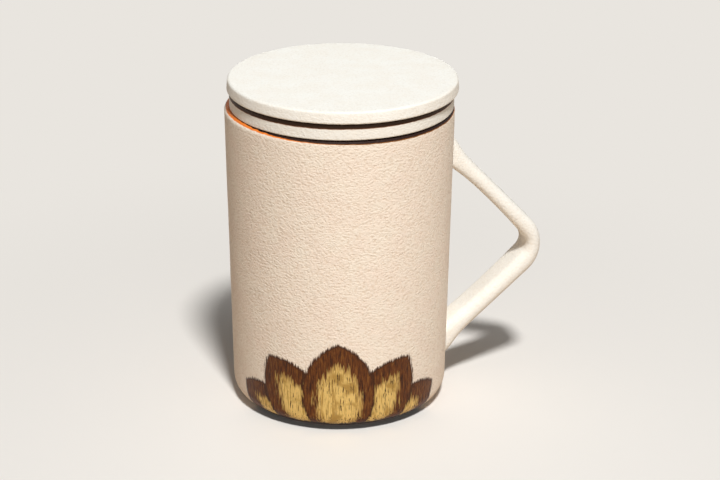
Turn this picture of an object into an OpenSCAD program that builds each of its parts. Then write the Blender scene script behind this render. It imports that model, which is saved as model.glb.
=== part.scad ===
// Lidded tea mug with a drop-in infuser, all glazed stoneware.
// +Z is up, the table is z = 0, the cup's axis is the Z axis and the handle points along +X.
// Lengths are millimetres and angles are degrees.

/* [Cup] */
// Outside diameter at the rim
rim_d = 82; // [76:1:88]
// Outside diameter low on the wall, above the rounded base
base_d = 78.2; // [74:0.2:82]
// Height of the rim's crown above the table
cup_h = 110.8; // [104:0.2:116]
// Thickness of the wall, which is also the diameter of the rounded rim
wall = 3.5; // [3:0.1:4]
// Thickness of the floor
floor_t = 4.5; // [3.5:0.1:6]
// Radius of the rounded edge between wall and base
base_round = 6.2; // [5:0.1:8]
// Radius of the fillet between wall and floor inside
inner_round = 5; // [3:0.5:7]
// Outside diameter of the foot ring that the cup stands on
foot_d = 66; // [60:1:66]
// Width of the foot ring
foot_w = 4; // [3:0.5:6]
// Height of the foot ring
foot_h = 1; // [0.8:0.1:2]

/* [Handle] */
// Width of the strap, across the plane that it bends in
strap_w = 13; // [11:0.5:15]
// Height at which the strap's outer face leaves the wall at the top
outer_top_z = 95.6; // [93:0.1:98]
// Height at which the outer face meets the wall again below
outer_low_z = 12.5; // [12:0.1:15]
// Distance from the cup's axis at which the outer face's two straight runs would cross
outer_elbow_x = 81.8; // [80:0.1:85]
// Height at which they would cross
outer_elbow_z = 51.2; // [48:0.1:53]
// Radius of the outer face round the elbow
outer_elbow_r = 13.9; // [11:0.1:16]
// Height at which the strap's inner face leaves the wall at the top
inner_top_z = 86.6; // [85:0.1:88]
// Height at which the inner face meets the wall again below
inner_low_z = 22.4; // [21.5:0.1:25]
// Distance from the cup's axis at which the inner face's two straight runs would cross
inner_elbow_x = 72.1; // [69:0.1:72.5]
// Height at which they would cross
inner_elbow_z = 52.1; // [51:0.1:54]
// Radius of the inner face round the elbow
inner_elbow_r = 4.6; // [2.5:0.1:6]
// How far the inner face bows outwards on the upper arm
upper_bow = 0.8; // [0:0.1:1.5]
// How far the inner face bows outwards on the lower arm
lower_bow = 0.6; // [0:0.1:1.8]
// How much the outer face swells where it joins the wall
outer_swell = 1.8; // [0:0.1:2.5]
// How much the inner face swells at the top root
inner_top_swell = 0.6; // [0:0.1:2]
// How much it swells at the low root
inner_low_swell = 0.1; // [0:0.1:2]

/* [Infuser] */
// How far the loose infuser stands off centre along X, within its play in the mouth
infuser_shift_x = 0.5; // [-0.6:0.1:0.6]
// How far it stands off centre along Y
infuser_shift_y = -1.1; // [-1.1:0.1:1.1]
// Outside diameter of the collar that rests on the rim
collar_d = 79.6; // [79:0.1:81]
// Height of the collar
collar_h = 5.9; // [4.5:0.1:8]
// Outside diameter of the basket just under the collar
basket_top_d = 71.6; // [70:0.2:71.8]
// Outside diameter of the basket at its lower end
basket_low_d = 66.6; // [60:0.2:68]
// Depth of the basket below the cup's rim
basket_depth = 70; // [60:1:80]
// Thickness of the basket's wall
basket_wall = 2.6; // [2.2:0.1:3]
// Thickness of the pierced floor
sieve_t = 3; // [2.5:0.1:4]
// Diameter of the strainer holes
hole_d = 2; // [1.6:0.1:2.4]
// Rings of holes in the floor, round the middle one
floor_rings = 4; // [2:1:4]
// Distance between rings of holes
ring_pitch = 6.4; // [6:0.1:6.5]
// Rows of holes round the basket's wall
wall_rows = 3; // [1:1:4]
// Holes in each row of the wall
holes_a_row = 24; // [12:2:28]

/* [Lid] */
// How far the loose lid stands off the infuser's axis along X, within its play in the collar
lid_shift_x = 0.4; // [-0.4:0.1:0.4]
// How far it stands off that axis along Y
lid_shift_y = 0.1; // [-0.3:0.1:0.3]
// Diameter of the lid at its lower edge
lid_low_d = 82.1; // [81:0.1:86]
// Diameter of the lid at its upper edge
lid_top_d = 81.6; // [80.5:0.1:82]
// Thickness of the lid
lid_t = 4.5; // [4.2:0.1:6]
// Radius of the rounded edge round the lid's flat top
lid_top_round = 1; // [0.5:0.1:1.5]
// Clearance between the lid's locating ring and the collar, all round
lid_play = 0.7; // [0.5:0.1:1]
// Wall of the locating ring
locator_wall = 3; // [2.5:0.1:4]
// Depth of the locating ring below the lid
locator_h = 6; // [4:0.5:9]

/* [Hidden] */
$fn = 96;

clay = "#EDE1CF";
strap_clay = "#F1E6D4";
basket_clay = "#E9DDC9";
lid_clay = "#F4EBDC";

rest_gap = 0.1; // between a resting piece and what it rests on
cup_r = rim_d / 2;
base_r = base_d / 2;
taper = atan((cup_r - base_r) / (cup_h - foot_h));
crown_r = wall / 2;
crown_z = cup_h - crown_r;
foot_chamfer = 0.5;

root_depth = 1.2; // how far the strap's ends sink into the wall
swell_reach = 7; // distance along the strap over which the root's swelling dies away
arm_steps = 14;
elbow_steps = 14;
section_steps = 20;
corner_power = 3; // 2 would make the strap's section an ellipse, and more squares it up

collar_z = cup_h + rest_gap;
collar_round = 0.9;
collar_in_r = basket_top_d / 2 - basket_wall;
basket_z = cup_h - basket_depth;
sieve_round = 2.2;
row_z = 9; // height of the first row of wall holes above the basket's end
row_pitch = 6;

lid_z = collar_z + collar_h + rest_gap;
lid_low_round = 0.7;
locator_r = collar_in_r - lid_play;
locator_round = 0.8;

function unit(v) = v / norm(v);
function wall_r(z) = base_r + (z - foot_h) * tan(taper);
function signed_power(v, p) = sign(v) * pow(abs(v), p);
function swell(height, d) = height * exp(-pow(d / swell_reach, 2));

// One face of the strap, in the plane that it bends in: an arm, the elbow's arc and an arm.
// A swelling is positive outwards and negative inwards, and the points run from the top down.
function strap_face(top_z, elbow, r, low_z, bow_up, bow_low, top_swell, low_swell) =
    let (
        top = [wall_r(top_z) - root_depth, top_z],
        low = [wall_r(low_z) - root_depth, low_z],
        up_way = unit(top - elbow),
        low_way = unit(low - elbow),
        half = acos(up_way * low_way) / 2,
        arc_top = elbow + up_way * r / tan(half),
        arc_low = elbow + low_way * r / tan(half),
        centre = elbow + unit(up_way + low_way) * r / sin(half),
        from = atan2(arc_top.y - centre.y, arc_top.x - centre.x),
        to = atan2(arc_low.y - centre.y, arc_low.x - centre.x),
        up_out = [up_way.y, -up_way.x],
        low_out = [-low_way.y, low_way.x]
    )
    concat(
        [for (i = [0 : arm_steps - 1])
            let (s = i / arm_steps, d = s * norm(arc_top - top))
            top + (arc_top - top) * s + up_out * (bow_up * 4 * s * (1 - s) + swell(top_swell, d))],
        [for (i = [0 : elbow_steps])
            let (a = from + (to - from) * i / elbow_steps)
            centre + r * [cos(a), sin(a)]],
        [for (i = [1 : arm_steps])
            let (s = i / arm_steps, d = (1 - s) * norm(arc_low - low))
            arc_low + (low - arc_low) * s + low_out * (bow_low * 4 * s * (1 - s) + swell(low_swell, d))]
    );

// The cup's outside, from the foot's plane to the middle of the rounded rim.
module cup_outer_outline() {
    round_c = [wall_r(foot_h + base_round) - base_round / cos(taper), foot_h + base_round];
    wall_touch = round_c + base_round * [cos(taper), -sin(taper)];
    polygon([
        [0, foot_h], [round_c.x, foot_h], round_c, wall_touch,
        [wall_r(crown_z), crown_z], [0, crown_z]
    ]);
    translate(round_c) circle(r = base_round);
}

// The room inside the cup, open at the top.
module cup_inner_outline() {
    inset = wall / cos(taper);
    z = foot_h + floor_t;
    round_c = [wall_r(z + inner_round) - inset - inner_round / cos(taper), z + inner_round];
    wall_touch = round_c + inner_round * [cos(taper), -sin(taper)];
    polygon([
        [0, z], [round_c.x, z], round_c, wall_touch,
        [wall_r(cup_h) - inset, cup_h], [0, cup_h]
    ]);
    translate(round_c) circle(r = inner_round);
}

// A bar's outline with its two lower corners cut, for rings that stand on them.
module ring_outline(in_r, out_r, low, high, cut) {
    polygon([
        [in_r, high], [in_r, low + cut], [in_r + cut, low],
        [out_r - cut, low], [out_r, low + cut], [out_r, high]
    ]);
}

module cup_body() {
    color(clay) rotate_extrude() {
        difference() {
            intersection() {
                cup_outer_outline();
                square([cup_r + wall, crown_z]);
            }
            cup_inner_outline();
        }
        translate([wall_r(crown_z) - crown_r / cos(taper), crown_z]) circle(r = crown_r);
        ring_outline(foot_d / 2 - foot_w, foot_d / 2, 0, foot_h + floor_t / 2, foot_chamfer);
    }
}

module handle() {
    outer = strap_face(
        outer_top_z, [outer_elbow_x, outer_elbow_z], outer_elbow_r, outer_low_z,
        0, 0, outer_swell, outer_swell
    );
    inner = strap_face(
        inner_top_z, [inner_elbow_x, inner_elbow_z], inner_elbow_r, inner_low_z,
        upper_bow, lower_bow, -inner_top_swell, -inner_low_swell
    );
    rings = len(outer);
    n = section_steps;
    points = [
        for (i = [0 : rings - 1])
        let (mid = (outer[i] + inner[i]) / 2, half_t = (outer[i] - inner[i]) / 2)
        for (k = [0 : n - 1])
        let (
            across = signed_power(cos(360 * k / n), 2 / corner_power),
            along = signed_power(sin(360 * k / n), 2 / corner_power),
            p = mid + half_t * across
        )
        [p.x, along * strap_w / 2, p.y]
    ];
    sides = [
        for (i = [0 : rings - 2])
        for (k = [0 : n - 1])
        let (a = i * n + k, b = i * n + (k + 1) % n)
        each [[a, b, a + n], [b, b + n, a + n]]
    ];
    first_end = [for (k = [1 : n - 2]) [0, k + 1, k]];
    last_end = [for (k = [1 : n - 2]) [(rings - 1) * n, (rings - 1) * n + k, (rings - 1) * n + k + 1]];
    color(strap_clay) polyhedron(points = points, faces = concat(sides, first_end, last_end));
}

module infuser_collar() {
    r = collar_round;
    out_r = collar_d / 2;
    color(basket_clay) translate([infuser_shift_x, infuser_shift_y, collar_z]) rotate_extrude() {
        polygon([
            [collar_in_r, 0], [out_r - r, 0], [out_r - r, r], [out_r, r], [out_r, collar_h - r],
            [out_r - r, collar_h - r], [out_r - r, collar_h], [collar_in_r, collar_h]
        ]);
        translate([out_r - r, r]) circle(r = r);
        translate([out_r - r, collar_h - r]) circle(r = r);
    }
}

// Pins that pierce the basket's wall, row above row, every second row turned by half a step.
module wall_holes() {
    for (row = [0 : wall_rows - 1])
        for (i = [0 : holes_a_row - 1])
            translate([0, 0, row_z + row * row_pitch])
                rotate([0, 90, (i + (row % 2) / 2) * 360 / holes_a_row])
                    translate([0, 0, basket_low_d / 2 - 2 * basket_wall])
                        cylinder(d = hole_d, h = 4 * basket_wall, $fn = 24);
}

module infuser_basket() {
    h = collar_z - basket_z - sieve_t;
    top_r = basket_top_d / 2;
    low_r = basket_low_d / 2;
    color(basket_clay) translate([infuser_shift_x, infuser_shift_y, basket_z + sieve_t]) difference() {
        rotate_extrude() polygon([
            [low_r - basket_wall, 0], [low_r, 0], [top_r, h], [top_r - basket_wall, h]
        ]);
        wall_holes();
    }
}

module infuser_floor() {
    r = basket_low_d / 2;
    color(basket_clay) translate([infuser_shift_x, infuser_shift_y, basket_z]) difference() {
        rotate_extrude() {
            polygon([[0, 0], [r - sieve_round, 0], [r - sieve_round, sieve_round], [r, sieve_round],
                [r, sieve_t], [0, sieve_t]]);
            translate([r - sieve_round, sieve_round]) intersection() {
                circle(r = sieve_round);
                translate([-sieve_round, -sieve_round]) square([2 * sieve_round, sieve_round]);
            }
        }
        for (ring = [0 : floor_rings])
            for (i = [0 : max(1, 6 * ring) - 1])
                rotate(i * 360 / max(1, 6 * ring))
                    translate([ring * ring_pitch, 0, -sieve_t])
                        cylinder(d = hole_d, h = 3 * sieve_t, $fn = 24);
    }
}

// Moves a piece of the lid from its own axis to where the lid lies.
module place_lid(z) {
    translate([infuser_shift_x + lid_shift_x, infuser_shift_y + lid_shift_y, z]) children();
}

// A flat disc whose slightly tapered side runs smoothly into its two rounded edges.
module lid_disc() {
    low = [lid_low_d / 2 - lid_low_round, lid_low_round];
    top = [lid_top_d / 2 - lid_top_round, lid_t - lid_top_round];
    way = top - low;
    lean = atan2(way.y, way.x) - acos((lid_low_round - lid_top_round) / norm(way));
    side = [cos(lean), sin(lean)];
    color(lid_clay) place_lid(lid_z) rotate_extrude() {
        polygon([
            [0, 0], [low.x, 0], low, low + lid_low_round * side,
            top + lid_top_round * side, top, [top.x, lid_t], [0, lid_t]
        ]);
        translate(low) circle(r = lid_low_round);
        translate(top) circle(r = lid_top_round);
    }
}

module lid_locating_ring() {
    color(lid_clay) place_lid(lid_z - locator_h) rotate_extrude()
        ring_outline(locator_r - locator_wall, locator_r, 0, locator_h, locator_round);
}

cup_body();
handle();
infuser_collar();
infuser_basket();
infuser_floor();
lid_disc();
lid_locating_ring();
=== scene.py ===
import functools
import math

import bmesh
import bpy
from mathutils import Matrix, Vector


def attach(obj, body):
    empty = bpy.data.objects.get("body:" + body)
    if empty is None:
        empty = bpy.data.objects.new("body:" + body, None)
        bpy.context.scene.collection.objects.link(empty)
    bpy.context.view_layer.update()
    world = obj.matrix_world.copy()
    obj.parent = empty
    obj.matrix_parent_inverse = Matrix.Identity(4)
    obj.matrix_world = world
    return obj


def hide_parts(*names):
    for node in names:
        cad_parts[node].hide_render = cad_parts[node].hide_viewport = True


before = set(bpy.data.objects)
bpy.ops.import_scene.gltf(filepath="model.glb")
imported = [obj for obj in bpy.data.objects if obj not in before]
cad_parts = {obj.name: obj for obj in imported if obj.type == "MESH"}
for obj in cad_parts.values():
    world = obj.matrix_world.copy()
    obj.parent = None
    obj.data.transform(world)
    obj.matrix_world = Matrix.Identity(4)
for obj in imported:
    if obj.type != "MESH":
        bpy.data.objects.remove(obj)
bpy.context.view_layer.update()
print("frame loaded:", sorted(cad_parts))

mm = 0.001

view = {
    "pitch": 22.0,        # degrees down
    "turn": -14.5,        # degrees round the mug, so that the handle points a little away
    "roll": 0.26,
    "distance": 763.7,    # mm from the point it looks at
    "aimHeight": 58.64,   # that point's height above the table
    "aimAside": 7.45,     # and how far it lies to the right of the cup's axis
    "lens": 105,
    "sensor": 36,
}


def setCamera():
    pitch, turn, roll = (math.radians(view[k]) for k in ("pitch", "turn", "roll"))
    ahead = Vector((-math.sin(turn) * math.cos(pitch), math.cos(turn) * math.cos(pitch), -math.sin(pitch)))
    right = Vector((math.cos(turn), math.sin(turn), 0))
    up = right.cross(ahead)
    aim = (right * view["aimAside"] + Vector((0, 0, view["aimHeight"]))) * mm
    rightRolled = right * math.cos(roll) + up * math.sin(roll)
    upRolled = up * math.cos(roll) - right * math.sin(roll)
    data = bpy.data.cameras.new("mugCamera")
    data.lens = view["lens"]
    data.sensor_width = view["sensor"]
    camera = bpy.data.objects.new("mugCamera", data)
    bpy.context.scene.collection.objects.link(camera)
    turned = Matrix((rightRolled, upRolled, -ahead)).transposed().to_4x4()
    camera.matrix_world = Matrix.Translation(aim - ahead * view["distance"] * mm) @ turned
    bpy.context.scene.camera = camera


setCamera()
print("camera set")


def startFresh():
    if bpy.context.object and bpy.context.object.mode != "OBJECT":
        bpy.ops.object.mode_set(mode="OBJECT")
    bpy.ops.object.select_all(action="DESELECT")


# Points of an arc in the (radius, height) plane, from one angle to another, ends included.
def arc(centre, radius, fromAngle, toAngle, steps):
    points = []
    for i in range(steps + 1):
        a = math.radians(fromAngle + (toAngle - fromAngle) * i / steps)
        points.append((centre[0] + radius * math.cos(a), centre[1] + radius * math.sin(a)))
    return points


# Points strictly between two others.
def between(start, end, count):
    return [
        (start[0] + (end[0] - start[0]) * i / (count + 1), start[1] + (end[1] - start[1]) * i / (count + 1))
        for i in range(1, count + 1)
    ]


# A piece thrown on the wheel: a circle is extruded and resized ring by ring along an outline of
# (radius, height) points in mm. Its ends are closed at the axis, or on each other for a ring.
def throwPiece(name, outline, axisAt, isRing=False, segments=192):
    startFresh()
    cx, cy = axisAt
    radius, height = outline[0]
    bpy.ops.mesh.primitive_circle_add(
        vertices=segments, radius=radius * mm, location=(cx, cy, height * mm),
        fill_type="NOTHING" if isRing else "TRIFAN",
    )
    piece = bpy.context.object
    piece.name = name
    piece.data.name = name
    bpy.ops.object.mode_set(mode="EDIT")
    bpy.ops.mesh.select_mode(type="EDGE")
    bpy.ops.mesh.select_all(action="SELECT")
    if not isRing:
        bpy.ops.mesh.region_to_loop()
    for nextRadius, nextHeight in outline[1:]:
        bpy.ops.mesh.extrude_edges_move(TRANSFORM_OT_translate={"value": (0, 0, (nextHeight - height) * mm)})
        grow = nextRadius / radius
        bpy.ops.transform.resize(value=(grow, grow, 1), center_override=(cx, cy, nextHeight * mm))
        radius, height = nextRadius, nextHeight
    if not isRing:
        bpy.ops.mesh.extrude_edges_move(TRANSFORM_OT_translate={"value": (0, 0, 0)})
        bpy.ops.mesh.merge(type="CENTER")
    bpy.ops.mesh.select_all(action="SELECT")
    bpy.ops.mesh.remove_doubles(threshold=0.001 * mm)
    bpy.ops.mesh.normals_make_consistent(inside=False)
    bpy.ops.object.mode_set(mode="OBJECT")
    settle(piece)
    return piece


# The object's own place goes into its mesh, and edges that turn less than so many degrees are shaded smooth.
def settle(piece, smoothBelow=50):
    startFresh()
    piece.select_set(True)
    bpy.context.view_layer.objects.active = piece
    bpy.ops.object.transform_apply(location=True, rotation=True, scale=True)
    bpy.ops.object.shade_smooth_by_angle(angle=math.radians(smoothBelow))


def applyModifier(piece, kind, **settings):
    modifier = piece.modifiers.new(kind.lower(), kind)
    for name, value in settings.items():
        setattr(modifier, name, value)
    bpy.context.view_layer.objects.active = piece
    bpy.ops.object.modifier_apply(modifier=modifier.name)


# Hand-made unevenness: the surface only goes inwards, by up to the depth.
def wobble(piece, waveLength, waveDepth):
    clouds = bpy.data.textures.new(piece.name + "Wobble", "CLOUDS")
    clouds.noise_scale = waveLength * mm
    clouds.noise_depth = 1
    applyModifier(piece, "DISPLACE", texture=clouds, texture_coords="LOCAL",
                  strength=waveDepth * mm, mid_level=1)


cup = {
    "rimDiameter": 82, "baseDiameter": 78.2, "height": 110.8,
    "wall": 3.5, "floor": 4.5, "baseRound": 6.2, "innerRound": 5,
    "baseFrom": -86,                        # degrees: the rounded base starts just outside the foot ring
    "footDiameter": 66, "footWidth": 4, "footHeight": 1, "footRound": 0.5,
    "recessEdge": 1, "recessDrop": 0.2,     # the slope where the recess inside the foot ring meets it
    "floorRings": (26, 19, 12, 6),          # radii of the mesh's rings on the inside of the floor
    "waveLength": 11, "waveDepth": 0.16,
}
taper = math.atan((cup["rimDiameter"] - cup["baseDiameter"]) / 2 / (cup["height"] - cup["footHeight"]))


# The outside radius of the cup's wall at a height, in mm.
def wallRadius(height):
    return cup["baseDiameter"] / 2 + (height - cup["footHeight"]) * math.tan(taper)


def makeCup():
    lean = math.degrees(taper)
    foot = cup["footDiameter"] / 2
    footIn = foot - cup["footWidth"]
    footTop = cup["footHeight"]
    edge = cup["footRound"]
    recess = (footIn - cup["recessEdge"], footTop)
    underside = between((0, footTop), recess, count=3) + [recess, (footIn, footTop - cup["recessDrop"])]
    ring = arc((footIn + edge, edge), edge, 180, 270, steps=4)
    ring += arc((foot - edge, edge), edge, 270, 360, steps=4)
    roundCentre = (wallRadius(footTop + cup["baseRound"]) - cup["baseRound"] / math.cos(taper),
                   footTop + cup["baseRound"])
    base = arc(roundCentre, cup["baseRound"], cup["baseFrom"], -lean, steps=14)
    crown = cup["wall"] / 2
    crownHeight = cup["height"] - crown
    crownCentre = (wallRadius(crownHeight) - crown / math.cos(taper), crownHeight)
    rim = arc(crownCentre, crown, -lean, 180 - lean, steps=18)
    floorTop = footTop + cup["floor"]
    inset = cup["wall"] / math.cos(taper)
    filletCentre = (wallRadius(floorTop + cup["innerRound"]) - inset - cup["innerRound"] / math.cos(taper),
                    floorTop + cup["innerRound"])
    fillet = arc(filletCentre, cup["innerRound"], -lean, -90, steps=10)
    wallOut = between(base[-1], rim[0], count=34)
    wallIn = between(rim[-1], fillet[0], count=26)
    bottom = [(radius, floorTop) for radius in cup["floorRings"]]
    outline = underside + ring + base + wallOut + rim + wallIn + fillet + bottom
    piece = throwPiece("cupBody", outline, (0, 0), segments=208)
    wobble(piece, cup["waveLength"], cup["waveDepth"])
    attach(piece, "mug")
    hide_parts("cup_body")
    return piece


cupBody = makeCup()
print("cup thrown:", len(cupBody.data.polygons), "faces")


strap = {
    "width": 13, "rootDepth": 1.2,
    "outerTop": 95.6, "outerLow": 12.5, "outerElbow": (81.8, 51.2), "outerElbowRadius": 13.9,
    "innerTop": 86.6, "innerLow": 22.4, "innerElbow": (72.1, 52.1), "innerElbowRadius": 4.6,
    "innerBows": (0.8, 0.6),                                # upper and lower arm, away from the fingers
    "outerSwells": (1.8, 1.8), "innerSwells": (-0.6, -0.1), "swellReach": 7,    # top and low root
    "armSteps": 40, "elbowSteps": 22, "crowding": 1.6,      # rings crowd towards the roots
    "outerEdge": 3.0, "innerEdges": (2.4, 3.4), "edgeBlend": 14,                # upper and lower arm
    "sharpAbove": 60,                                       # degrees that a long edge turns at least
    "sideFacing": 0.7, "endFacing": 0.9,                    # normals of the two sides and of the two ends
    "fillet": 0.8, "squareOn": 0.2,                         # what faces the wall squarely isn't spread
    "fingerGap": (52, 0, 53),                               # a point inside the loop
}


# One face of the strap in the plane that it bends in, from the top root to the low one: (x, z) in mm.
def strapFace(topHeight, elbow, elbowRadius, lowHeight, bows, swells):
    elbow = Vector(elbow)
    top = Vector((wallRadius(topHeight) - strap["rootDepth"], topHeight))
    low = Vector((wallRadius(lowHeight) - strap["rootDepth"], lowHeight))
    upWay = (top - elbow).normalized()
    lowWay = (low - elbow).normalized()
    half = upWay.angle(lowWay) / 2
    arcTop = elbow + upWay * elbowRadius / math.tan(half)
    arcLow = elbow + lowWay * elbowRadius / math.tan(half)
    centre = elbow + (upWay + lowWay).normalized() * elbowRadius / math.sin(half)
    fromAngle = math.degrees(math.atan2(arcTop.y - centre.y, arcTop.x - centre.x))
    toAngle = math.degrees(math.atan2(arcLow.y - centre.y, arcLow.x - centre.x))

    def arm(root, tip, outwards, bow, swell):
        points = []
        for i in range(strap["armSteps"]):
            s = (i / strap["armSteps"]) ** strap["crowding"]
            away = s * (tip - root).length
            swollen = swell * math.exp(-(away / strap["swellReach"]) ** 2)
            points.append(root + (tip - root) * s + outwards * (bow * 4 * s * (1 - s) + swollen))
        return points

    upper = arm(top, arcTop, Vector((upWay.y, -upWay.x)), bows[0], swells[0])
    lower = arm(low, arcLow, Vector((-lowWay.y, lowWay.x)), bows[1], swells[1])
    elbowArc = [Vector(p) for p in arc(centre, elbowRadius, fromAngle, toAngle, strap["elbowSteps"])]
    return upper + elbowArc + lower[::-1]


# The strap is pulled out of one square, whose outer and inner side follow the two faces ring by ring.
def makeHandle():
    outer = strapFace(strap["outerTop"], strap["outerElbow"], strap["outerElbowRadius"],
                      strap["outerLow"], (0, 0), strap["outerSwells"])
    inner = strapFace(strap["innerTop"], strap["innerElbow"], strap["innerElbowRadius"],
                      strap["innerLow"], strap["innerBows"], strap["innerSwells"])
    startFresh()
    half = strap["width"] / 2 * mm
    bpy.ops.mesh.primitive_plane_add(size=2 * half, location=(0, 0, 0), rotation=(0, math.pi / 2, 0))
    piece = bpy.context.object
    piece.name = "strapHandle"
    piece.data.name = "strapHandle"
    bpy.ops.object.transform_apply(location=True, rotation=True, scale=True)
    bpy.ops.object.mode_set(mode="EDIT")
    bpy.ops.mesh.select_mode(type="VERT")
    lastOuter, lastInner = Vector((0, 0, half)), Vector((0, 0, -half))
    for ring, (outerPoint, innerPoint) in enumerate(zip(outer, inner)):
        nextOuter = Vector((outerPoint.x, 0, outerPoint.y)) * mm
        nextInner = Vector((innerPoint.x, 0, innerPoint.y)) * mm
        if ring > 0:
            bpy.ops.mesh.extrude_region_move(TRANSFORM_OT_translate={"value": (0, 0, 0)})
        mesh = bmesh.from_edit_mesh(piece.data)
        end = [v for v in mesh.verts if v.select]
        onOuter = [v for v in end if (v.co - lastOuter).xz.length < (v.co - lastInner).xz.length]
        onInner = [v for v in end if v not in onOuter]
        for corners, step in ((onOuter, nextOuter - lastOuter), (onInner, nextInner - lastInner)):
            for v in mesh.verts:
                v.select_set(v in corners)
            mesh.select_flush_mode()
            bpy.ops.transform.translate(value=step)
        for v in mesh.verts:
            v.select_set(v in end)
        mesh.select_flush_mode()
        lastOuter, lastInner = nextOuter, nextInner
    bpy.ops.mesh.select_all(action="SELECT")
    bpy.ops.mesh.normals_make_consistent(inside=False)
    weighStrapEdges(piece)
    bpy.ops.object.mode_set(mode="OBJECT")
    applyModifier(piece, "BEVEL", width=strap["innerEdges"][1] * mm, limit_method="WEIGHT", segments=7,
                  use_clamp_overlap=False)
    weldRoots(piece)
    settle(piece, smoothBelow=60)
    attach(piece, "mug")
    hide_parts("handle")
    return piece


# Marks the strap's four long edges with how much each is rounded, as a share of the softest one.
def weighStrapEdges(piece):
    gap = Vector(strap["fingerGap"]) * mm
    upperEdge, lowerEdge = strap["innerEdges"]
    endReach = cup["rimDiameter"] / 2 - 1       # the strap's ends lie nearer the axis than this
    mesh = bmesh.from_edit_mesh(piece.data)
    mesh.normal_update()
    weight = mesh.edges.layers.float.new("bevel_weight_edge")
    for edge in mesh.edges:
        if len(edge.link_faces) != 2 or edge.calc_face_angle() < math.radians(strap["sharpAbove"]):
            continue
        broad = [f for f in edge.link_faces if abs(f.normal.y) <= strap["sideFacing"]]
        if len(broad) != 1:
            continue
        face = broad[0]
        isEnd = abs(face.normal.x) > strap["endFacing"] and face.calc_center_median().x < endReach * mm
        middle = (edge.verts[0].co + edge.verts[1].co) / 2
        isOuter = face.normal.dot(middle - gap) > 0
        lowness = min(max(0.5 + (gap.z - middle.z) / (strap["edgeBlend"] * mm), 0), 1)
        width = strap["outerEdge"] if isOuter else upperEdge + (lowerEdge - upperEdge) * lowness
        edge[weight] = 0 if isEnd else width / lowerEdge
    bmesh.update_edit_mesh(piece.data)


# The glaze and the slip fill the corner between strap and wall: near the wall, the strap's skin
# spreads along it.
def weldRoots(piece):
    fillet = strap["fillet"]
    moved = []
    for v in piece.data.vertices:
        fromAxis = Vector((v.co.x, v.co.y, 0))
        gap = (fromAxis.length / mm) - wallRadius(v.co.z / mm)
        if gap >= fillet:
            continue
        gap = max(gap, 0)
        spread = fillet - math.sqrt(fillet ** 2 - (fillet - gap) ** 2)
        alongWall = v.normal - fromAxis.normalized() * v.normal.dot(fromAxis.normalized())
        if alongWall.length > strap["squareOn"]:
            moved.append((v, alongWall.normalized() * spread * mm))
    for v, step in moved:
        v.co += step


strapHandle = makeHandle()
print("handle pulled:", len(strapHandle.data.polygons), "faces")


infuser = {
    "shift": (0.5, -1.1),        # how far it stands off the cup's axis, within its play
    "bottom": 40.8, "top": 110.9,               # from the sieve's underside to the collar's seat
    "topDiameter": 71.6, "lowDiameter": 66.6, "wall": 2.6,
    "hole": 2.0, "holeEdge": 0.3, "sharpAbove": 50, "smoothBelow": 40,      # the last two in degrees
}
infuserAxis = (infuser["shift"][0] * mm, infuser["shift"][1] * mm)

collar = {
    "diameter": 79.6, "height": 5.9, "topRound": 0.9, "lowRound": 0.6,
    "boreStep": 1.2,             # from ring to ring where the bore begins
    "waveLength": 14, "waveDepth": 0.08,
}


def makeCollar():
    outer = collar["diameter"] / 2
    inner = infuser["topDiameter"] / 2 - infuser["wall"]
    low = infuser["top"]
    high = low + collar["height"]
    edge = collar["topRound"]
    lowEdge = collar["lowRound"]
    step = collar["boreStep"]
    outline = [(inner, low + step), (inner, low)]
    outline += arc((outer - lowEdge, low + lowEdge), lowEdge, -90, 0, steps=7)
    outline += between((outer, low + lowEdge), (outer, high - edge), count=3)
    outline += arc((outer - edge, high - edge), edge, 0, 90, steps=7)
    outline += arc((inner + edge, high - edge), edge, 90, 180, steps=6)
    outline += [(inner, low + 2 * step), (inner, low + step)]
    piece = throwPiece("infuserCollar", outline, infuserAxis, isRing=True)
    wobble(piece, collar["waveLength"], collar["waveDepth"])
    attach(piece, "infuser")
    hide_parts("infuser_collar")
    return piece


sieve = {
    "thickness": 3.0, "round": 2.2,
    "rings": 4, "ringPitch": 6.4, "ringHoles": 6,       # each ring has so many holes more than the last
}
basket = {
    "columns": 96,               # of the mesh, four to a hole
    "holes": 24, "rows": 3, "firstRow": 9, "rowPitch": 6,
    "nearHole": 0.1,             # share of a pitch within which a point is a hole's middle
    "cutShare": 1.41,            # corner of a hole's first cut over the radius that subdivision leaves it
}


# Softens the edges of the holes, as glaze does.
def roundHoles(piece):
    applyModifier(piece, "BEVEL", width=infuser["holeEdge"] * mm, segments=2,
                  angle_limit=math.radians(infuser["sharpAbove"]))
    settle(piece, infuser["smoothBelow"])


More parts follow.
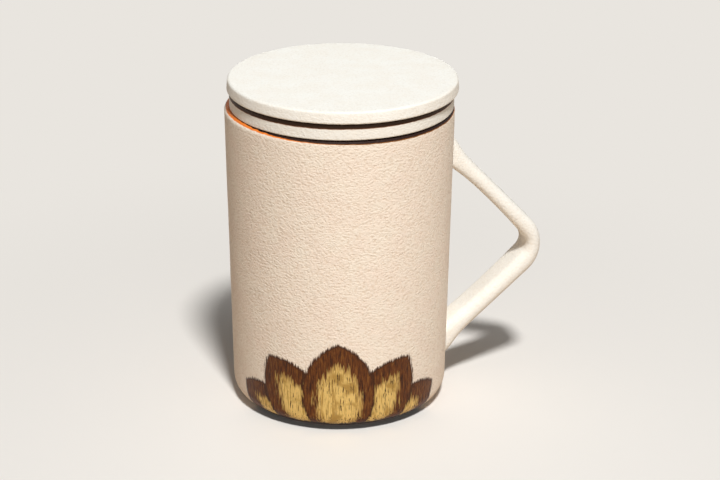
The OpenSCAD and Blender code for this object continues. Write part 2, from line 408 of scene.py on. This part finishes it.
# The basket's wall starts as a thin sheet, cut square-wise where the holes come. Subdivision rounds
# the cuts.
def makeBasket():
    low = infuser["bottom"] + sieve["thickness"]
    lowRadius, topRadius = infuser["lowDiameter"] / 2, infuser["topDiameter"] / 2
    rise = infuser["top"] - low
    pierced = basket["firstRow"] + (basket["rows"] - 0.5) * basket["rowPitch"]      # how far up it has holes
    piercedSteps = round(pierced / basket["rowPitch"] * 2)                          # two rings to a pitch
    start, end = (lowRadius, low), (topRadius, infuser["top"])
    piercedEnd = (lowRadius + (topRadius - lowRadius) * pierced / rise, low + pierced)
    outline = [start] + between(start, piercedEnd, count=piercedSteps - 1) + [piercedEnd]
    outline += between(piercedEnd, end, count=9) + [end]
    piece = throwPiece("infuserBasket", outline, infuserAxis, isRing=True, segments=basket["columns"])
    startFresh()
    bpy.context.view_layer.objects.active = piece
    bpy.ops.object.mode_set(mode="EDIT")
    bpy.ops.mesh.select_mode(type="VERT")
    bpy.ops.mesh.select_all(action="DESELECT")
    mesh = bmesh.from_edit_mesh(piece.data)
    for v in mesh.verts:
        row = (v.co.z / mm - low - basket["firstRow"]) / basket["rowPitch"]
        turn = math.atan2(v.co.y - infuserAxis[1], v.co.x - infuserAxis[0]) / (2 * math.pi)
        step = turn * basket["holes"] - (round(row) % 2) / 2        # the rows are staggered
        isRow = abs(row - round(row)) < basket["nearHole"] and 0 <= round(row) < basket["rows"]
        v.select_set(isRow and abs(step - round(step)) < basket["nearHole"])
    mesh.select_flush_mode()
    bpy.ops.mesh.bevel(offset=infuser["hole"] / 2 * basket["cutShare"] * mm, segments=1, affect="VERTICES")
    bpy.ops.mesh.select_mode(type="FACE")
    bpy.ops.mesh.delete(type="FACE")
    bpy.ops.object.mode_set(mode="OBJECT")
    applyModifier(piece, "SUBSURF", levels=1, render_levels=1)
    applyModifier(piece, "SOLIDIFY", thickness=infuser["wall"] * mm, offset=-1)
    roundHoles(piece)
    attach(piece, "infuser")
    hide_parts("infuser_basket")
    return piece


# The floor is pierced with pins in rings, as a potter does it with a hole cutter.
def makeSieveFloor():
    low = infuser["bottom"]
    high = low + sieve["thickness"]
    radius = infuser["lowDiameter"] / 2
    edge = sieve["round"]
    outline = arc((radius - edge, low + edge), edge, -90, 0, steps=8) + [(radius, high)]
    piece = throwPiece("infuserFloor", outline, infuserAxis, segments=96)
    startFresh()
    pins = []
    for ring in range(sieve["rings"] + 1):
        holes = max(1, sieve["ringHoles"] * ring)
        for i in range(holes):
            turn = 2 * math.pi * i / holes
            away = Vector((math.cos(turn), math.sin(turn))) * ring * sieve["ringPitch"] * mm
            bpy.ops.mesh.primitive_cylinder_add(
                vertices=16, radius=infuser["hole"] / 2 * mm, depth=3 * sieve["thickness"] * mm,
                location=(infuserAxis[0] + away.x, infuserAxis[1] + away.y, (low + high) / 2 * mm),
            )
            pins.append(bpy.context.object)
    for pin in pins:
        pin.select_set(True)
    bpy.context.view_layer.objects.active = pins[0]
    bpy.ops.object.join()
    cutter = bpy.context.object
    bpy.ops.object.transform_apply(location=True, rotation=True, scale=True)
    applyModifier(piece, "BOOLEAN", object=cutter, operation="DIFFERENCE", solver="EXACT")
    bpy.data.objects.remove(cutter, do_unlink=True)
    roundHoles(piece)
    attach(piece, "infuser")
    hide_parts("infuser_floor")
    return piece


infuserCollar = makeCollar()
infuserBasket = makeBasket()
infuserFloor = makeSieveFloor()
for infuserPiece in (infuserCollar, infuserBasket, infuserFloor):
    print(infuserPiece.name, "made:", len(infuserPiece.data.polygons), "faces")


lid = {
    "shift": (0.4, 0.1),         # how far it stands off the infuser's axis
    "lowDiameter": 82.1, "topDiameter": 81.6, "thickness": 4.5, "bottom": 116.9,
    "lowRound": 0.7, "topRound": 1.0, "waveLength": 16, "waveDepth": 0.12,
    # Radii of the mesh's rings on its underside and on its top.
    "lowRings": (8, 16, 24, 32, 38), "topRings": (38, 35, 30, 24, 18, 12, 6),
}
lidAxis = (infuserAxis[0] + lid["shift"][0] * mm, infuserAxis[1] + lid["shift"][1] * mm)


def makeLid():
    low = lid["bottom"]
    high = low + lid["thickness"]
    lowRound, topRound = lid["lowRound"], lid["topRound"]
    lowCentre = Vector((lid["lowDiameter"] / 2 - lowRound, low + lowRound))
    topCentre = Vector((lid["topDiameter"] / 2 - topRound, high - topRound))
    way = topCentre - lowCentre
    lean = math.degrees(math.atan2(way.y, way.x) - math.acos((lowRound - topRound) / way.length))
    lowEdge = arc(lowCentre, lowRound, -90, lean, steps=7)
    topEdge = arc(topCentre, topRound, lean, 90, steps=8)
    outline = [(radius, low) for radius in lid["lowRings"]] + lowEdge
    outline += between(lowEdge[-1], topEdge[0], count=3) + topEdge
    outline += [(radius, high) for radius in lid["topRings"]]
    piece = throwPiece("lidDisc", outline, lidAxis, segments=208)
    wobble(piece, lid["waveLength"], lid["waveDepth"])
    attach(piece, "lid")
    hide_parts("lid_disc")
    return piece


locator = {
    "diameter": 65.0, "wall": 3.0, "height": 6.0, "round": 0.8,
}


def makeLocator():
    high = lid["bottom"]
    low = high - locator["height"]
    halfway = low + locator["height"] / 2
    outer = locator["diameter"] / 2
    inner = outer - locator["wall"]
    edge = locator["round"]
    outline = [(inner, high), (inner, halfway)]
    outline += arc((inner + edge, low + edge), edge, 180, 270, steps=6)
    outline += arc((outer - edge, low + edge), edge, 270, 360, steps=6)
    outline += [(outer, halfway), (outer, high), (inner, high)]
    piece = throwPiece("lidLocatingRing", outline, lidAxis, isRing=True)
    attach(piece, "lid")
    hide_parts("lid_locating_ring")
    return piece


lidDisc = makeLid()
lidLocatingRing = makeLocator()
print("lid thrown:", len(lidDisc.data.polygons), "faces")


# Adds one node, with its settings as keywords. An input is a value, a socket, or a node's first output.
def addNode(tree, kind, inputs=None, **settings):
    node = tree.nodes.new("ShaderNode" + kind)
    for name, value in settings.items():
        setattr(node, name, value)
    for place, value in (inputs or {}).items():
        if isinstance(value, bpy.types.Node):
            value = value.outputs[0]
        if isinstance(value, bpy.types.NodeSocket):
            tree.links.new(value, node.inputs[place])
        else:
            node.inputs[place].default_value = value
    return node


def toLinear(hexColour):
    parts = [int(hexColour[i:i + 2], 16) / 255 for i in (1, 3, 5)]
    return (*(c / 12.92 if c <= 0.04045 else ((c + 0.055) / 1.055) ** 2.4 for c in parts), 1)


# What all the glazes share: stoneware fired matte, with little shine.
stoneware = {
    "ior": 1.5, "shine": 0.2,
    "grain": 0.9, "flatness": 1.35,             # mm from grain to grain, and how much closer up the wall
    "grainDetail": 0.6, "grainTwist": 0.5,
    "peel": 2.2, "peelShare": 0.35,             # mm, the wider waves under the grain
    "mottle": 8,                                # mm, the clouds of colour
    "cloudEdges": (0.35, 0.65), "pitEdges": (0.5, 0.3),     # where in the noise each starts and is full
}
cupLook = {
    "warm": "#F5E6D6", "pale": "#F6EBDB", "pit": "#CFB698", "pitDepth": 0.3,
    "roughness": 0.62, "relief": 0.27,
    # The colours round the rim. Edges are in mm above it: one above 0 shows only where the bands dip lower
    # on one side, which is painted shade of the crevice under the collar.
    "rimColours": [
        # Each band's dip is painted crevice shade: the thin glaze's orange and the iron slip are the rim's
        # own colours, reaching lower on one side as painted shade, and the burnt band is only the painted
        # shade's brown fringe.
        {"edges": (-0.65, -0.45), "hexColour": "#E67C2C", "shadeDip": 0.9},      # glaze drawn thin
        {"edges": (0.1, 0.2), "hexColour": "#8C5A2A", "shadeDip": 1.75},         # and burnt
        {"edges": (-0.06, 0.02), "hexColour": "#220B03", "shadeDip": 1.25},      # iron slip on the crown
    ],
    "bareFoot": (-0.2, -0.4),                   # mm from the top of the foot ring
    "bareClay": "#6B4530",
}
whiteLook = {
    "warm": "#F4F0E6", "pale": "#F6F4EC", "pit": "#DED2C0", "pitDepth": 0.2,
    "roughness": 0.6, "relief": 0.17,
    # The collar's dark band from its top is painted shadow of the lid over a band of bare clay, and its
    # brown fringe is the painted shadow's edge.
    "collarShadowFringe": (-2.0, -1.8), "collarBareAndShadow": (-1.8, -1.6),        # mm from the collar's top
    "bareSeat": (0.12, 0.02),                   # mm from the collar's underside
    "bareLid": (0.25, 0.1),                     # mm from the lid's underside
    # The bare clay is made as dark as the lid's shadow: on the collar's side it is painted shadow, on the
    # faces that rest on each other bare clay.
    "bareClay": "#35200F", "shadowFringeBrown": "#8A5530",
}


# Matte glaze crawls a little as it melts, so it dries to a fine, wormy grain like orange peel, with
# faint clouds of a second cream and darker pits.
def makeGlaze(name, look):
    material = bpy.data.materials.new(name)
    material.use_nodes = True
    tree = material.node_tree
    tree.nodes.clear()
    add = functools.partial(addNode, tree)
    here = add("TexCoord").outputs["Object"]
    place = add("Mapping", {"Vector": here, "Scale": (1 / mm,) * 3})        # in mm
    flat = add("Mapping", {"Vector": place, "Scale": (1, 1, stoneware["flatness"])})
    grain = add("TexNoise", {
        "Vector": flat, "Scale": 1 / stoneware["grain"], "Detail": stoneware["grainDetail"],
        "Roughness": 0.5, "Distortion": stoneware["grainTwist"],
    })
    peel = add("TexNoise", {
        "Vector": place, "Scale": 1 / stoneware["peel"], "Detail": 1.0, "Roughness": 0.4,
    })
    relief = add("Math", {0: peel, 1: stoneware["peelShare"], 2: grain}, operation="MULTIPLY_ADD")
    bump = add("Bump", {"Height": relief, "Distance": look["relief"] * mm})
    mottle = add("TexNoise", {
        "Vector": place, "Scale": 1 / stoneware["mottle"], "Detail": 3.0, "Roughness": 0.6,
    })
    cloudStart, cloudFull = stoneware["cloudEdges"]
    cloud = add("MapRange", {0: mottle, 1: cloudStart, 2: cloudFull})
    clouded = add("Mix", {
        0: cloud, 6: toLinear(look["warm"]), 7: toLinear(look["pale"]),
    }, data_type="RGBA")
    pitStart, pitFull = stoneware["pitEdges"]
    pits = add("MapRange", {0: grain, 1: pitStart, 2: pitFull, 3: 0.0, 4: look["pitDepth"]})
    shader = add("BsdfPrincipled", {
        "Normal": bump, "Roughness": look["roughness"], "IOR": stoneware["ior"],
        "Specular IOR Level": stoneware["shine"],
    })
    add("OutputMaterial", {"Surface": shader})
    glaze = {
        "material": material, "tree": tree, "shader": shader, "bump": bump, "relief": relief,
        "place": place, "peel": peel, "height": add("SeparateXYZ", {0: place}).outputs["Z"],
        "colour": clouded.outputs[2],
    }
    recolour(glaze, pits, look["pit"])
    return glaze


def recolour(glaze, amount, hexColour):
    mixed = addNode(glaze["tree"], "Mix", {
        0: amount, 6: glaze["colour"], 7: toLinear(hexColour),
    }, data_type="RGBA")
    glaze["colour"] = mixed.outputs[2]
    glaze["tree"].links.new(glaze["colour"], glaze["shader"].inputs["Base Color"])


# The dip is painted shade: the rim's bands reach lower on the side where the crevice under the collar is in
# shadow.
wipeAndShade = {
    "shadeDipFacing": -70,           # degrees round the cup from its handle
    "radius": 41,               # mm, where the dip is as deep as it is given
    "unevenness": 0.3,
}


# Where pieces touch in the kiln the glaze is wiped off, and the same bands paint shade: the dark band on the
# collar is painted shadow of the lid, and the dip lower on one side is painted shade of the crevice under
# the collar. The colour changes between two edges in mm from a level, and stays changed beyond the second
# one.
# The sponge leaves an uneven edge.
def wipeGlazeAndPaintShade(glaze, level, edges, hexColour, shadeDip=0.0):
    add = functools.partial(addNode, glaze["tree"])
    side = math.radians(wipeAndShade["shadeDipFacing"])
    sidewards = (math.cos(side) / wipeAndShade["radius"], math.sin(side) / wipeAndShade["radius"], 0)
    facing = add("VectorMath", {0: glaze["place"], 1: sidewards}, operation="DOT_PRODUCT").outputs["Value"]
    dip = add("Math", {0: facing, 1: 0.0}, operation="MAXIMUM")
    dipped = add("Math", {0: dip, 1: shadeDip, 2: glaze["height"]}, operation="MULTIPLY_ADD")
    uneven = add("Math", {0: glaze["peel"], 1: wipeAndShade["unevenness"], 2: dipped}, operation="MULTIPLY_ADD")
    middle = level + wipeAndShade["unevenness"] / 2
    wiped = add("MapRange", {0: uneven, 1: middle + edges[0], 2: middle + edges[1]})
    recolour(glaze, wiped, hexColour)


def dress(piece, material):
    piece.data.materials.clear()
    piece.data.materials.append(material)


# A half lotus brushed on the wall in iron brown with gold hearts, open towards the drinker.
lotus = {
    "facing": -104.5,           # degrees round the cup from its handle
    "wallRadius": 39.5,
    # From the back of the bloom: lean in degrees, then foot along the wall, length and width in mm.
    "petals": [
        (-64, -16, 28, 18), (64, 16, 28, 18),
        (-35, -8, 33, 23), (35, 8, 33, 23),
        (0, 0, 35, 27),
    ],
    "belly": 0.42,              # share of a petal's length at which it is widest
    "petalBlur": 0.4, "outlineWidth": 0.7, "outlineStrength": 0.7,
    "heartInset": 5.6, "heartDrop": 0.14, "heartBlur": 1,
    # In mm: the streaks that the iron draws as it runs, and the bristles' marks in the gold.
    "fur": {"width": 0.42, "length": 4, "reach": 0.8},
    "brush": {"width": 0.7, "length": 8, "reach": 2.6},
    # Where in their noise these start and are full, and how strong the rust and the old gold get.
    "glintEdges": (0.52, 0.72), "poolEdges": (0.5, 0.3), "speckEdges": (0.34, 0.42),
    "blotEdges": (0.48, 0.34), "scratchEdges": (0.5, 0.36), "wear": 0.8,
    "blotSize": 5,              # mm
    "brown": "#5E3212", "dark": "#2A1206", "rust": "#8A5A28",
    "gold": "#E1BE73", "oldGold": "#A07A38", "metallic": 0.5,
    "footBand": 3.4, "footBandBlur": 0.4, "footBandUnevenness": 0.3, "footDark": "#23110A",
    "footBandReach": 40, "footBandFade": 1,     # mm along the wall from the middle of the bloom
    "grainLeft": 0.4, "roughness": 0.42,        # the thick iron glaze melts smoother than the wall's
}


# Streaks that run down the wall, and how far in mm they push an edge in or out.
def drawStreaks(glaze, width, length, reach):
    add = functools.partial(addNode, glaze["tree"])
    run = add("Mapping", {"Vector": glaze["place"], "Scale": (1 / width, 1 / width, 1 / length)})
    streaks = add("TexNoise", {"Vector": run, "Scale": 1.0, "Detail": 2.0, "Roughness": 0.6})
    push = add("MapRange", {0: streaks, 1: 0.25, 2: 0.75, 3: -reach, 4: reach})     # the noise's usual span
    return streaks, push


# The bloom is drawn flat, along the wall and up it, from petals that each hide what is behind them. The
# iron, the gold and the dark outlines each have a mask. A petal is two arcs that meet at its tip.
def paintLotus(glaze):
    add = functools.partial(addNode, glaze["tree"])
    turned = add("Mapping", {
        "Vector": glaze["place"], "Rotation": (0, 0, math.radians(-lotus["facing"])),
    })
    axes = add("SeparateXYZ", {0: turned})
    angle = add("Math", {0: axes.outputs["Y"], 1: axes.outputs["X"]}, operation="ARCTAN2")
    along = add("Math", {0: angle, 1: lotus["wallRadius"]}, operation="MULTIPLY")
    onWall = add("CombineXYZ", {0: along, 1: glaze["height"]})
    fur, feather = drawStreaks(glaze, **lotus["fur"])
    brush, bristles = drawStreaks(glaze, **lotus["brush"])
    iron, gold, outline = 0.0, 0.0, 0.0
    for lean, foot, length, width in lotus["petals"]:
        lean = math.radians(lean)
        toBelly, toTip = length * lotus["belly"], length * (1 - lotus["belly"])
        radius = (toTip ** 2 + (width / 2) ** 2) / width
        heartRadius = radius - lotus["heartInset"]
        local = add("Mapping", {
            "Vector": onWall, "Rotation": (0, 0, -lean),
            "Location": (foot + math.sin(lean) * toBelly, math.cos(lean) * toBelly, 0),
        }, vector_type="TEXTURE")
        folded = add("VectorMath", {0: local}, operation="ABSOLUTE")
        aside = add("VectorMath", {0: folded, 1: (radius - width / 2, 0, 0)}, operation="ADD")
        reach = add("VectorMath", {0: aside}, operation="LENGTH").outputs["Value"]
        edge = add("Math", {0: reach, 1: feather}, operation="ADD")
        behind = add("MapRange", {0: edge, 1: radius - lotus["petalBlur"], 2: radius + lotus["petalBlur"]})
        petal = add("Math", {0: 1.0, 1: behind}, operation="SUBTRACT")
        fromEdge = add("Math", {0: edge, 1: radius, 2: lotus["outlineWidth"]}, operation="COMPARE")
        up = add("SeparateXYZ", {0: local}).outputs["Y"]
        lower = add("Math", {0: up, 1: lotus["heartDrop"], 2: reach}, operation="MULTIPLY_ADD")
        heartEdge = add("Math", {0: lower, 1: bristles}, operation="ADD")
        heart = add("MapRange", {
            0: heartEdge, 1: heartRadius + lotus["heartBlur"], 2: heartRadius - lotus["heartBlur"],
        })
        iron = add("Math", {0: iron, 1: behind, 2: petal}, operation="MULTIPLY_ADD")
        gold = add("Math", {0: gold, 1: behind, 2: heart}, operation="MULTIPLY_ADD")
        outline = add("Math", {0: outline, 1: behind, 2: fromEdge}, operation="MULTIPLY_ADD", use_clamp=True)
    recolour(glaze, iron, lotus["brown"])
    start, full = lotus["glintEdges"]
    glints = add("MapRange", {0: fur, 1: start, 2: full, 4: lotus["wear"]})
    rust = add("Math", {0: glints, 1: iron}, operation="MULTIPLY")
    recolour(glaze, rust, lotus["rust"])
    start, full = lotus["poolEdges"]
    pooled = add("MapRange", {0: fur, 1: start, 2: full})
    lined = add("Math", {0: outline, 1: lotus["outlineStrength"]}, operation="MULTIPLY")
    darker = add("Math", {0: pooled, 1: lined}, operation="MAXIMUM")
    dark = add("Math", {0: darker, 1: iron}, operation="MULTIPLY")
    recolour(glaze, dark, lotus["dark"])
    start, full = lotus["speckEdges"]
    specked = add("MapRange", {0: fur, 1: start, 2: full})
    goldLeft = add("Math", {0: gold, 1: specked}, operation="MULTIPLY")
    recolour(glaze, goldLeft, lotus["gold"])
    blots = add("TexNoise", {"Vector": glaze["place"], "Scale": 1 / lotus["blotSize"], "Detail": 2.0})
    start, full = lotus["blotEdges"]
    thin = add("MapRange", {0: blots, 1: start, 2: full, 4: lotus["wear"]})
    start, full = lotus["scratchEdges"]
    scratched = add("MapRange", {0: brush, 1: start, 2: full, 4: lotus["wear"]})
    dull = add("Math", {0: thin, 1: scratched}, operation="MAXIMUM")
    oldGold = add("Math", {0: dull, 1: goldLeft}, operation="MULTIPLY")
    recolour(glaze, oldGold, lotus["oldGold"])
    low = add("Math", {
        0: bristles, 1: lotus["footBandUnevenness"], 2: glaze["height"],
    }, operation="MULTIPLY_ADD")
    height, blur = lotus["footBand"], lotus["footBandBlur"]
    band = add("MapRange", {0: low, 1: height + blur, 2: height - blur})
    aside = add("Math", {0: along}, operation="ABSOLUTE")
    reach, fade = lotus["footBandReach"], lotus["footBandFade"]
    within = add("MapRange", {0: aside, 1: reach + fade, 2: reach - fade})
    footPaint = add("Math", {0: band, 1: within}, operation="MULTIPLY")
    recolour(glaze, footPaint, lotus["footDark"])
    painted = add("Math", {0: iron, 1: footPaint}, operation="MAXIMUM")
    smoother = add("MapRange", {0: painted, 3: 1.0, 4: lotus["grainLeft"]})
    relief = add("Math", {0: glaze["relief"], 1: smoother}, operation="MULTIPLY")
    roughness = add("MapRange", {0: painted, 3: cupLook["roughness"], 4: lotus["roughness"]})
    uncovered = add("MapRange", {0: footPaint, 3: lotus["metallic"], 4: 0.0})
    metal = add("Math", {0: goldLeft, 1: uncovered}, operation="MULTIPLY")
    glaze["tree"].links.new(relief.outputs[0], glaze["bump"].inputs["Height"])
    glaze["tree"].links.new(roughness.outputs[0], glaze["shader"].inputs["Roughness"])
    glaze["tree"].links.new(metal.outputs[0], glaze["shader"].inputs["Metallic"])


cupGlaze = makeGlaze("oatmealGlazedStoneware", cupLook)
paintLotus(cupGlaze)
for rimColour in cupLook["rimColours"]:
    wipeGlazeAndPaintShade(cupGlaze, cup["height"], **rimColour)
wipeGlazeAndPaintShade(cupGlaze, cup["footHeight"], cupLook["bareFoot"], cupLook["bareClay"])
dress(cupBody, cupGlaze["material"])

snowGlaze = makeGlaze("snowGlazedStoneware", whiteLook)
for snowPiece in (strapHandle, infuserBasket, infuserFloor):
    dress(snowPiece, snowGlaze["material"])

collarGlaze = makeGlaze("snowGlazedCollar", whiteLook)
collarTop = infuser["top"] + collar["height"]
# A dark band down the collar's side from its top: painted shadow of the lid's overhang over bare clay where
# the lid rests, with a brown painted-shadow fringe.
wipeGlazeAndPaintShade(collarGlaze, collarTop, whiteLook["collarShadowFringe"], whiteLook["shadowFringeBrown"])
wipeGlazeAndPaintShade(collarGlaze, collarTop, whiteLook["collarBareAndShadow"], whiteLook["bareClay"])
wipeGlazeAndPaintShade(collarGlaze, infuser["top"], whiteLook["bareSeat"], whiteLook["bareClay"])
dress(infuserCollar, collarGlaze["material"])

lidGlaze = makeGlaze("snowGlazedLid", whiteLook)
wipeGlazeAndPaintShade(lidGlaze, lid["bottom"], whiteLook["bareLid"], whiteLook["bareClay"])
dress(lidDisc, lidGlaze["material"])
dress(lidLocatingRing, lidGlaze["material"])
print("glazes made")


studio = {
    "floorSize": 8.0,           # metres, wide enough to fill the view behind the mug
    "floor": "#ECE8E2",
    # What the floor throws back on the mug: warmer and darker, as a wooden table would.
    "floorBounce": "#C4AC93",
    "backdrop": "#E9E5DF",
    # Metres from the mug, where the lit floor starts to fade into the backdrop and where it has.
    "backdropStart": 0.05, "backdropEnd": 0.26,
    "around": 0.1,              # strength of the room's own light
}
# Softboxes: degrees round from the front and up, metres away, watts and metres across.
softboxes = {
    "keySoftbox": {"turn": -1.5, "rise": 60, "distance": 2.6, "power": 66, "size": 0.35},
    "fillSoftbox": {"turn": -1.5, "rise": 8, "distance": 1.2, "power": 2.8, "size": 0.6},
    "backSoftbox": {"turn": 178.5, "rise": 12, "distance": 1.4, "power": 2.0, "size": 0.9},
}


# 1 where the camera, a reflection or a view through glass meets the surface, and 0 for the light it throws.
def seenDirectly(tree):
    add = functools.partial(addNode, tree)
    ray = add("LightPath")
    inCamera, inGloss, throughGlass = (
        ray.outputs[name] for name in ("Is Camera Ray", "Is Glossy Ray", "Is Transmission Ray")
    )
    seen = add("Math", {0: inCamera, 1: inGloss}, operation="MAXIMUM")
    return add("Math", {0: seen, 1: throughGlass}, operation="MAXIMUM")


def makeFloor():
    startFresh()
    bpy.ops.mesh.primitive_plane_add(size=studio["floorSize"], location=(0, 0, 0))
    floor = bpy.context.object
    floor.name = "paleFloor"
    material = bpy.data.materials.new("paleFloorPaint")
    material.use_nodes = True
    tree = material.node_tree
    tree.nodes.clear()
    add = functools.partial(addNode, tree)
    seen = seenDirectly(tree)
    paint = add("Mix", {
        0: seen, 6: toLinear(studio["floorBounce"]), 7: toLinear(studio["floor"]),
    }, data_type="RGBA").outputs[2]
    matte = add("BsdfDiffuse", {"Color": paint})
    backdrop = add("Emission", {"Color": toLinear(studio["backdrop"])})
    away = add("VectorMath", {0: add("TexCoord").outputs["Object"]}, operation="LENGTH").outputs["Value"]
    fade = add("MapRange", {
        0: away, 1: studio["backdropStart"], 2: studio["backdropEnd"],
    }, interpolation_type="SMOOTHSTEP")
    faded = add("Math", {0: fade, 1: seen}, operation="MULTIPLY")
    ground = add("MixShader", {0: faded, 1: matte, 2: backdrop})
    add("OutputMaterial", {"Surface": ground})
    dress(floor, material)


def addSoftbox(name, turn, rise, distance, power, size):
    turn, rise = math.radians(turn), math.radians(rise)
    aim = Vector((0, 0, view["aimHeight"] * mm))
    away = Vector((math.sin(turn) * math.cos(rise), -math.cos(turn) * math.cos(rise), math.sin(rise)))
    lamp = bpy.data.lights.new(name, "AREA")
    lamp.shape = "DISK"
    lamp.size = size
    lamp.energy = power
    softbox = bpy.data.objects.new(name, lamp)
    bpy.context.scene.collection.objects.link(softbox)
    softbox.location = aim + away * distance
    softbox.rotation_euler = (-away).to_track_quat("-Z", "Y").to_euler()


# The room lights the mug softly, and is white where the camera or a reflection sees it.
def makeRoom():
    world = bpy.data.worlds.new("softRoom")
    bpy.context.scene.world = world
    world.use_nodes = True
    tree = world.node_tree
    tree.nodes.clear()
    strength = addNode(tree, "MapRange", {0: seenDirectly(tree), 3: studio["around"], 4: 1.0})
    background = addNode(tree, "Background", {"Color": (1, 1, 1, 1), "Strength": strength})
    addNode(tree, "OutputWorld", {"Surface": background})


makeFloor()
for softboxName, settings in softboxes.items():
    addSoftbox(softboxName, **settings)
makeRoom()
bpy.context.scene.view_settings.view_transform = "Standard"
print("studio lit")
